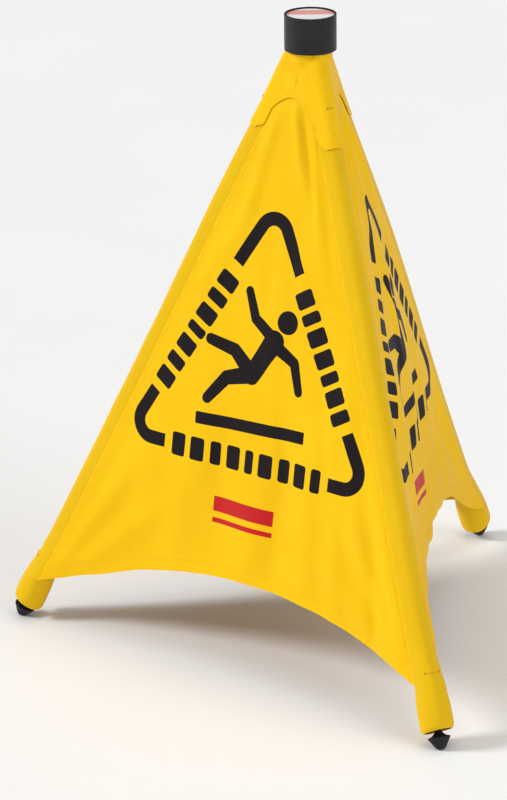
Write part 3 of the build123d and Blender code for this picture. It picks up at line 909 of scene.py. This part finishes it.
def mapped(half, corners, lift=0.0):
    """Surface points, normals and UVs for flat points of a half face, given in millimetres."""
    u, t = corners[:, 0] * MM, corners[:, 1] * MM
    q, run = to_leg(u, t)
    points = skin(half, q, run, lift)
    normals = skin_normal(half, q, run, lift)
    uv = np.stack([half.side * u, t], axis=1)
    return points, normals, uv


def upward(line):
    """Unit vectors at right angles to a line that runs across a face, pointing up."""
    slope = np.gradient(line[:, 1], line[:, 0])
    shift = np.stack([-slope, np.ones(len(slope))], axis=1)
    return shift / np.linalg.norm(shift, axis=1)[:, None]


def outside_leg(line):
    """How far each flat point, in millimetres, lies outside the leg's line."""
    return to_leg(line[:, 0] * MM, line[:, 1] * MM)[0]


def ride_and_flatten(made, half):
    """Fixes a piece of a half face to its leg, with a mesh of its own."""
    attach(made, "leg_" + half.leg.name)
    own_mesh(made)


def stitched(name, paths, material, long=2.5, gap=0.9, thick=0.22, parts=5):
    """Separate stitches of thread along lines of (points, normals), each sunk at both ends."""
    ring = 6  # points round a thread
    shares = np.linspace(0, 1, parts)
    arch = np.sin(np.pi * shares) ** 0.5
    shape = [(k, 0.30 + 0.70 * h, -0.9 + 1.5 * h) for k, h in zip(shares, arch)]
    points, faces, uv = [], [], []
    radius = thick * MM
    for line, normal in paths:
        steps = np.linalg.norm(np.diff(line, axis=0), axis=1)
        total = np.concatenate([[0], np.cumsum(steps)])
        starts = np.arange(gap * MM / 2, total[-1] - long * MM, (long + gap) * MM)
        for start in starts:
            first = len(points)
            for share, wide, rise in shape:
                at = start + share * long * MM
                p = np.array([np.interp(at, total, line[:, k]) for k in range(3)])
                n = unit(np.array([np.interp(at, total, normal[:, k]) for k in range(3)]))
                ahead = np.array([np.interp(at + 0.0003, total, line[:, k]) for k in range(3)])
                behind = np.array([np.interp(at - 0.0003, total, line[:, k]) for k in range(3)])
                side = unit(np.cross(n, unit(ahead - behind)))
                for k in range(ring):
                    a = 2 * math.pi * k / ring
                    out = n * (radius * (rise + wide * 0.8 * math.sin(a)))
                    points.append(p + out + side * (radius * wide * math.cos(a)))
                    uv.append((at, a * radius))
            for r in range(len(shape) - 1):
                for k in range(ring):
                    a, b = first + r * ring + k, first + r * ring + (k + 1) % ring
                    faces.append((a, b, b + ring, a + ring))
            faces.append(tuple(first + k for k in reversed(range(ring))))
            last = first + (len(shape) - 1) * ring
            faces.append(tuple(last + k for k in range(ring)))
    made = build_mesh(name, points, faces, [0] * len(faces), uv, None, [material])
    return made


COVER_KINDS = [yellow, inner_yellow, ink, red_print, ink_through]
YELLOW_KIND, BACK_KIND, INK_KIND, RED_KIND, THROUGH_KIND = range(5)


def half_outline(half, hem, end_u, end_t, steps, top_t, spacing):
    """The lower edge and the whole outline of a half face, in millimetres, from its centre line to its seam."""
    us = np.linspace(-LAP, end_u, steps) / MM
    bottom = np.stack([us, hem(half.side * us)], axis=1)
    top_u = max(seam_point(top_t), LAP)
    seam = resample(np.array([[end_u, end_t], [top_u, top_t]]) / MM, spacing)
    top = np.array([[top_u, top_t], [-LAP, top_t]]) / MM
    return bottom, np.vstack([bottom[:-1], seam[:-1], top])


def panel_half(half):
    """Half of a face from its centre line to its seam beside the sleeve, with the print cut into the cloth."""
    hem = HEMS[half.face.name]
    end_u, end_t = hem_end(half)
    bottom, outline = half_outline(half, hem, end_u, end_t, 90, PANEL_TOP_Z / UP_Z, 4.0)
    seam_u, seam_t = to_face(-SEAM_IN, np.arange(0.060, 0.489, 0.003))
    lines = [np.stack([seam_u, seam_t], axis=1) / MM]
    lines[0] = lines[0][lines[0][:, 1] > hem(half.side * lines[0][:, 0]) + 13]
    for deep in (HEM_STITCH, HEM_DEEP, HEM_DEEP + HEM_STEP):
        line = bottom + upward(bottom) * deep / MM
        line = line[line[:, 0] > 0.3]
        lines.append(line[outside_leg(line) < -(FLANGE + 0.001)])
    mirrored = [(p + PRINT_PLACE[half.face.name]) * [half.side, 1] for p in PRINT_BLACK + PRINT_RED]
    shown = [p for p in mirrored if p[:, 0].max() > 0.2]
    corners, triangles = triangulate(outline, lines, shown)
    points, normals, uv = mapped(half, corners)
    middle = corners[triangles].mean(axis=1)
    kinds = np.full(len(triangles), YELLOW_KIND)
    for polygon in mirrored[: len(PRINT_BLACK)]:
        kinds[inside(polygon, middle[:, 0], middle[:, 1])] = INK_KIND
    for polygon in mirrored[len(PRINT_BLACK):]:
        kinds[inside(polygon, middle[:, 0], middle[:, 1])] = RED_KIND
    back = np.where(kinds == INK_KIND, THROUGH_KIND, BACK_KIND)
    gap = hem_gap(half, corners[:, 0] * MM, corners[:, 1] * MM)
    thickness = CLOTH + HEM_EXTRA * (1 - smooth((gap - HEM_DEEP) / HEM_STEP))
    made = thick_sheet(
        "cover_panel_" + half.name, points, normals, triangles, kinds, uv, thickness, COVER_KINDS, back
    )
    ride_and_flatten(made, half)
    line = bottom[bottom[:, 0] > 0.6]
    hem_line = line + upward(line) * HEM_STITCH / MM
    hem_line = hem_line[outside_leg(hem_line) < -(FLANGE + 0.0005)]
    seam_u, seam_t = to_face(-SEAM_IN, np.arange(0.071, 0.486, 0.003))
    seam_line = np.stack([seam_u, seam_t], axis=1) / MM
    paths = [mapped(half, hem_line)[:2], mapped(half, seam_line)[:2]]
    stitches = stitched("panel_stitches_" + half.name, paths, thread)
    ride_and_flatten(stitches, half)
    return SimpleNamespace(sheet=made, stitches=stitches, outline=outline)


def yoke_half(half):
    """Half of a face's share of the yoke, which lies over the panel's top and runs up into the cap."""
    edge = YOKE_EDGES[half.face.name]
    top_t = to_face(-FLANGE, level_run(half, -FLANGE, COLLAR_END_Z))[1]
    u, t = edge_end(half, YOKE_EDGES, 0.020, 0.060)
    bottom, outline = half_outline(half, edge, u, t, 40, top_t, 3.0)
    corners, triangles = triangulate(outline, [], [])
    points, normals, uv = mapped(half, corners, YOKE_LIFT)
    made = yoke_sheet("cover_yoke_" + half.name, points, normals, triangles, uv)
    ride_and_flatten(made, half)
    line = bottom[bottom[:, 0] > 0.4]
    line = line + upward(line) * YOKE_STITCH
    line = line[outside_leg(line) < -FLANGE]
    stitches = stitched("yoke_stitches_" + half.name, [mapped(half, line, YOKE_LIFT)[:2]], thread)
    ride_and_flatten(stitches, half)
    return SimpleNamespace(sheet=made, stitches=stitches, outline=outline, end_t=t)


def halves_of(leg):
    """The two half faces that meet on a leg: the one it ends, then the one it starts."""
    ends = next(h for h in HALVES if h.leg is leg and h.side > 0)
    starts = next(h for h in HALVES if h.leg is leg and h.side < 0)
    return ends, starts


def bored_loft(loops, holes):
    """Points and faces of a closed solid through loops of points, with a bore through matching loops."""
    rings, count = len(loops), len(loops[0])
    points = np.vstack(loops + holes)
    base, last = rings * count, (rings - 1) * count
    outside, bore, mouths = [], [], []
    for r in range(rings - 1):
        for k in range(count):
            a, b = r * count + k, r * count + (k + 1) % count
            outside.append((a, b, b + count, a + count))
            bore.append((base + b, base + a, base + a + count, base + b + count))
    for k in range(count):
        j = (k + 1) % count
        mouths.append((j, k, base + k, base + j))
        mouths.append((last + k, last + j, base + last + j, base + last + k))
    kinds = [0] * len(outside) + [1] * len(bore) + [0] * len(mouths)
    return points, outside + bore + mouths, kinds


def radially(leg, points):
    """Unit vectors from a leg's axis to each point."""
    away = points - leg.pin
    away = away - np.outer(away @ leg.down, leg.down)
    return away / np.linalg.norm(away, axis=1)[:, None]


def sleeve_row(hem_run, run):
    """The flange's width at one place down the leg, and the distances q that sample one side of the sleeve."""
    width = max(0.0002, (FLANGE + LAP) * float(1 - smooth((run - (hem_run - 0.0010)) / 0.0040)))
    flats = np.array([1.0, 0.82, 0.62, 0.40, 0.18])
    return width, np.concatenate([-flats * width, np.linspace(0, Q_RIDGE, 12)])


def sleeve_loop(leg, run, rows):
    """One closed loop round a sleeve: outer surface, flanges' undersides and the back of the tube."""
    ends, starts = halves_of(leg)
    (width_a, q_a), (width_b, q_b) = rows
    rho = float(rho_at(run, leg))
    delta = math.acos(1 - SLEEVE_CLOTH / rho)
    root = rho * math.sin(delta)
    under = []
    for half, width in ((starts, width_b), (ends, width_a)):
        shares = np.array([-width, -max(width * 0.6, min(root, width)), -min(root, width)])
        under.append(skin(half, shares, run) - half.face.out * SLEEVE_CLOTH * smooth(width / 0.002))
    turns = np.linspace(WRAP + delta, 2 * math.pi - WRAP - delta, 15)
    circle = np.outer(np.cos(turns), leg.ridge) - np.outer(np.sin(turns), leg.across)
    behind = leg.pin + leg.down * run + rho * circle
    if math.dist(behind[0], under[0][-1]) > math.dist(behind[-1], under[0][-1]):
        behind = behind[::-1]
    outer = [skin(ends, q_a, run), skin(starts, q_b, run)[::-1][1:]]
    return np.vstack(outer + [under[0], behind, under[1][::-1]])


def sleeve(leg):
    """A leg's sleeve, which wraps the tube, runs on over both faces as flanges, and ends as an open pocket."""
    ends, starts = halves_of(leg)
    runs = np.concatenate(
        [
            np.arange(RIDGE_TOP, 0.480, 0.004),
            np.arange(0.480, 0.5135, 0.0010),
            np.linspace(0.5140, POCKET_END, 12),
        ]
    )
    hem_runs = [to_leg(*hem_end(half))[1] for half in (ends, starts)]
    loops, holes, uv, outer_normals = [], [], [], []
    for run in runs:
        rows = [sleeve_row(hem_run, run) for hem_run in hem_runs]
        loop = sleeve_loop(leg, run, rows)
        centre = leg.pin + leg.down * run
        hole = centre + radially(leg, loop) * max(float(rho_at(run, leg)) - 0.0009, BORE_LEAST)
        cut = MOUTH_TILT * float(smooth((run - 0.494) / 0.020))
        for points, made in ((loop, loops), (hole, holes)):
            made.append(points - np.outer((points - centre) @ leg.ridge * cut, leg.down))
        around = np.concatenate([[0], np.cumsum(np.linalg.norm(np.diff(loop, axis=0), axis=1))])
        uv.append(np.stack([around, np.full(len(loop), 0.6 - run)], axis=1))
        other = skin_normal(starts, rows[1][1], run)[::-1][1:]
        outer_normals.append(np.vstack([skin_normal(ends, rows[0][1], run), other]))
    points, faces, kinds = bored_loft(loops, holes)
    count, front = len(loops[0]), len(outer_normals[0])
    bore_from = len(runs) * count
    middle = len(runs) // 2 * count + len(rows[0][1]) - 1
    a, b, c = points[middle], points[middle + 1], points[middle + count]
    if np.cross(b - a, c - a) @ leg.ridge < 0:
        faces = [f[::-1] for f in faces]
    round_leg = radially(leg, points)
    round_leg[bore_from:] *= -1
    normals = []
    for f in faces:
        places = [v % count for v in f]
        in_bore = [v >= bore_from for v in f]
        if not any(in_bore) and max(places) < front and max(places) - min(places) <= 1:
            normals.append([outer_normals[v // count][v % count] for v in f])
            continue
        flange = any(front <= k < front + 3 or k >= count - 3 for k in places)
        mouth = any(in_bore) and not all(in_bore)
        normals.append(None if flange or mouth else round_leg[list(f)])
    uv = np.vstack(uv + uv)
    name = "leg_sleeve_" + leg.name + "_cloth"
    made = build_mesh(name, points, faces, kinds, uv, normals, [painted_shade_sleeve_yellow, inner_yellow])
    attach(made, "leg_" + leg.name)
    return made


def yoke_lobe(leg, end_t):
    """The yoke's tongue over a sleeve, down to a straight stitched end."""
    ends, starts = halves_of(leg)
    q_seam = -(FLANGE + LAP)
    first = float(level_run(ends, -FLANGE, COLLAR_END_Z))
    last = (PIN_T + q_seam * DU - end_t) / -DT
    tip = last + TONGUE
    runs = np.concatenate([np.linspace(first, last, 28), np.linspace(last, tip, 9)[1:]])
    widest = np.concatenate([[q_seam, -0.0048, -0.0024], np.linspace(0, Q_RIDGE, 12)])
    points, normals, uv = [], [], []
    for run in runs:
        qs = Q_RIDGE - (Q_RIDGE - widest) * (1 - TAPER * smooth((run - last) / TONGUE))
        bend = np.clip(1 - (run - first) / 0.025, 0, 1)
        rows = run + bend * (level_run(ends, qs, COLLAR_END_Z) - first)
        for shape, made in ((skin, points), (skin_normal, normals)):
            other = shape(starts, qs, rows, YOKE_LIFT)[::-1][1:]
            made.append(np.vstack([shape(ends, qs, rows, YOKE_LIFT), other]))
        across = np.concatenate([qs, 2 * Q_RIDGE - qs[::-1][1:]])
        uv.append(np.stack([across, np.full(len(across), 0.7 - run)], axis=1))
    count = len(points[0])
    triangles = []
    for r in range(len(runs) - 1):
        for k in range(count - 1):
            a = r * count + k
            triangles += [(a, a + 1, a + count), (a + 1, a + count + 1, a + count)]
    points, normals, uv = np.vstack(points), np.vstack(normals), np.vstack(uv)
    made = yoke_sheet("yoke_lobe_" + leg.name, points, normals, triangles, uv)
    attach(made, "leg_" + leg.name)
    paths = []
    for half in (ends, starts):
        place = (half, qs, tip - 0.0024, YOKE_LIFT)
        paths.append((skin(*place), skin_normal(*place)))
    stitches = stitched("lobe_stitches_" + leg.name, paths, thread)
    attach(stitches, "leg_" + leg.name)
    return SimpleNamespace(sheet=made, stitches=stitches, length=tip - first)


def level_run(half, q, z):
    """How far down the leg the cloth round a sleeve reaches height z, at distances q from the leg's line."""
    phi = np.clip(q, 0, None) / RHO
    rise = (RHO + YOKE_LIFT) * (np.cos(phi) * half.face.out[2] + np.sin(phi) * half.edge[2])
    rise = rise + np.minimum(q, 0) * half.edge[2]
    return (half.leg.pin[2] + rise - z) / -half.leg.down[2]


def collar():
    """The yoke's neck: a band round the hub, up into the cap. It stays with the head when the legs fold."""
    low_z, top_z = COLLAR_END_Z - LAP, YOKE_TOP_Z
    q_seam = -FLANGE
    shares = np.linspace(0, 1, 9)[:-1]
    qs = np.concatenate([[q_seam, -0.0048, -0.0024], np.linspace(0, Q_RIDGE, 12)])
    rings, normals, uv = [], [], []
    for z in np.linspace(low_z, top_z, 9):
        ring, ring_normal = [], []
        for half in HALVES:
            runs = level_run(half, qs, z)
            seam_u, t = to_face(q_seam, runs[0])
            flat_q, flat_run = to_leg(shares * max(seam_u, LAP), t)
            q = np.concatenate([flat_q, qs])
            down = np.concatenate([flat_run, runs])
            order = slice(None) if half.side > 0 else slice(None, None, -1)
            points = skin(half, q, down, YOKE_LIFT)[order]
            directions = skin_normal(half, q, down, YOKE_LIFT)[order]
            ring.append(points[:-1])
            ring_normal.append(directions[:-1])
        ring = np.vstack(ring)
        steps = np.linalg.norm(ring - np.roll(ring, 1, axis=0), axis=1)
        rings.append(ring)
        normals.append(np.vstack(ring_normal))
        uv.append(np.stack([np.cumsum(steps), np.full(len(ring), z)], axis=1))
    count = len(rings[0])
    triangles = []
    for r in range(len(rings) - 1):
        for k in range(count):
            a, b = r * count + k, r * count + (k + 1) % count
            triangles += [(a, b, b + count), (a, b + count, a + count)]
    around = float(uv[0][-1, 0])
    made = yoke_sheet("yoke_collar", np.vstack(rings), np.vstack(normals), triangles, np.vstack(uv))
    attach(made, "head")
    return SimpleNamespace(sheet=made, around=around, height=top_z - low_z)


def tack(name, leg, run, low, high, lift, node_name):
    """A bar tack: threads side by side across the sleeve, with dark thread at each end as painted shade for its
    needle hole.
    """
    ends, starts = halves_of(leg)

    def across(low, high, offset, count):
        line, normal = [], []
        for turn in np.linspace(low, high, count):
            half = ends if turn < 0 else starts
            q = (WRAP - abs(turn)) * RHO
            line.append(skin(half, q, run + offset, lift))
            normal.append(skin_normal(half, q, run + offset, lift))
        return np.array(line).reshape(-1, 3), np.array(normal).reshape(-1, 3)

    def length(path):
        return float(np.linalg.norm(np.diff(path[0], axis=0), axis=1).sum()) / MM

    bar = [across(low, high, offset, 24) for offset in (-0.0003, 0.0003)]
    made = stitched(name + "_thread", bar, thread, long=length(bar[0]) - 0.3, gap=0.2, thick=0.26, parts=15)
    edge = 0.16  # half the angle that the painted shade at a needle hole takes up
    holes = [across(low - edge / 2, low + edge, 0.0, 6), across(high - edge, high + edge / 2, 0.0, 6)]
    hole_shade = stitched(name + "_knots", holes, hole_shade_thread, long=length(holes[0]) - 0.3, gap=0.2, thick=0.42)
    for piece in (made, hole_shade):
        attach(piece, "leg_" + leg.name)
        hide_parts(node_name)


panels = {h.name: panel_half(h) for h in HALVES}
yokes = {h.name: yoke_half(h) for h in HALVES}
sleeves = {leg.name: sleeve(leg) for leg in LEGS.values()}
for leg in LEGS.values():
    yoke_lobe(leg, yokes[halves_of(leg)[0].name].end_t)
    tack("low_tack_" + leg.name, leg, LOW_TACK_RUN, -0.62, 0.66, 0.0, "lower_tack_" + leg.name)
    tack("top_tack_" + leg.name, leg, TOP_TACK_RUN, -0.30, 0.30, YOKE_LIFT, "upper_tack_" + leg.name)
    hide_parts("leg_sleeve_" + leg.name)
    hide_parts("cover_yoke")
neck = collar()
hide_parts("cover_yoke")
for half in HALVES:
    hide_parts("cover_panel_" + half.face.name)
    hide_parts("cover_yoke")

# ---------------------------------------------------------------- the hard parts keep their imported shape
LOOKS = {
    "cap_shell": black_gloss,
    "cap_label": label_card,
    "cap_screws": zinc,
    "hub": black_moulding,
    "cover_clamp": zinc,
    "hinge_pin": zinc,
    "torsion_spring": spring_steel,
    "leg_knuckle": black_moulding,
    "knuckle_rivet": zinc,
    "leg_tube": tube_metal,
    "end_plug": black_moulding,
    "foot_tip": rubber,
}
for node_name, part in frame["nodes"].items():
    stem = node_name
    for leg_name in LEG_NAMES:
        stem = stem.removesuffix("_" + leg_name)
    if stem in LOOKS:
        part.data.materials.clear()
        part.data.materials.append(LOOKS[stem])

# ---------------------------------------------------------------- floor, light and camera
scene = bpy.context.scene


def floor():
    """A wide pale floor."""
    mesh = bpy.data.meshes.new("floor")
    reach = 30.0
    corners = [(-reach, -reach, 0), (reach, -reach, 0), (reach, reach, 0), (-reach, reach, 0)]
    mesh.from_pydata(corners, [], [(0, 1, 2, 3)])
    made = bpy.data.objects.new("floor", mesh)
    material, tree, shader = new_material("pale_floor", (0.93, 0.93, 0.93), 0.55)
    place = coordinates(tree, False)
    tree.links.new(noise_between(tree, place, 3.0, 0.50, 0.62), shader.inputs["Roughness"])
    mesh.materials.append(material)
    scene.collection.objects.link(made)
    return made


ground = floor()
# The folded legs reach below the rest floor, so the floor's height goes down with a point under a foot.
sole = bpy.data.objects.new("sole_height", None)
scene.collection.objects.link(sole)
sole.location = tuple(LEGS["right"].radial * (FOOT_RING + 0.0004))
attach(sole, "leg_right")
follow = ground.constraints.new("COPY_LOCATION")
follow.target = sole
follow.use_x = False
follow.use_y = False
follow.use_z = True


def sun_light(name, towards, strength, spread):
    """A distant light. towards points from the object to the light; spread is its angle in degrees."""
    data = bpy.data.lights.new(name, "SUN")
    data.energy = strength
    data.angle = math.radians(spread)
    made = bpy.data.objects.new(name, data)
    made.rotation_euler = (-Vector(towards)).to_track_quat("-Z", "Y").to_euler()
    scene.collection.objects.link(made)


sun_light("key", (-0.66, -0.55, 0.52), 2.20, 16.0)
sun_light("fill", (0.88, 0.06, 0.47), 0.82, 40.0)
sun_light("glint", (0.80, -0.60, 0.14), 0.30, 9.0)
sun_light("top", (0.05, 0.05, 1.0), 0.75, 60.0)

world = bpy.data.worlds.new("studio")
world.use_nodes = True
world.node_tree.nodes["Background"].inputs["Color"].default_value = (1.0, 1.0, 1.0, 1.0)
world.node_tree.nodes["Background"].inputs["Strength"].default_value = 0.29
scene.world = world
scene.view_settings.view_transform = "Standard"

AZIMUTH = math.radians(37.754)
ELEVATION = math.radians(20.738)
ROLL = math.radians(-0.666)
LENS = 155.61
DISTANCE = 2.7176
SIDEWAYS = -0.04620
AIM_Z = 0.19657

camera_data = bpy.data.cameras.new("camera")
camera = bpy.data.objects.new("camera", camera_data)
scene.collection.objects.link(camera)
back = Vector(
    (
        math.sin(AZIMUTH) * math.cos(ELEVATION),
        -math.cos(AZIMUTH) * math.cos(ELEVATION),
        math.sin(ELEVATION),
    )
)
aim = Vector((SIDEWAYS * math.cos(AZIMUTH), SIDEWAYS * math.sin(AZIMUTH), AIM_Z))
camera.location = aim + back * DISTANCE
camera_data.lens = LENS
camera_data.clip_end = 60.0
level = (-back).to_track_quat("-Z", "Y").to_matrix()
camera.rotation_mode = "QUATERNION"
camera.rotation_quaternion = level.to_quaternion() @ Quaternion((0, 0, 1), ROLL)
scene.camera = camera
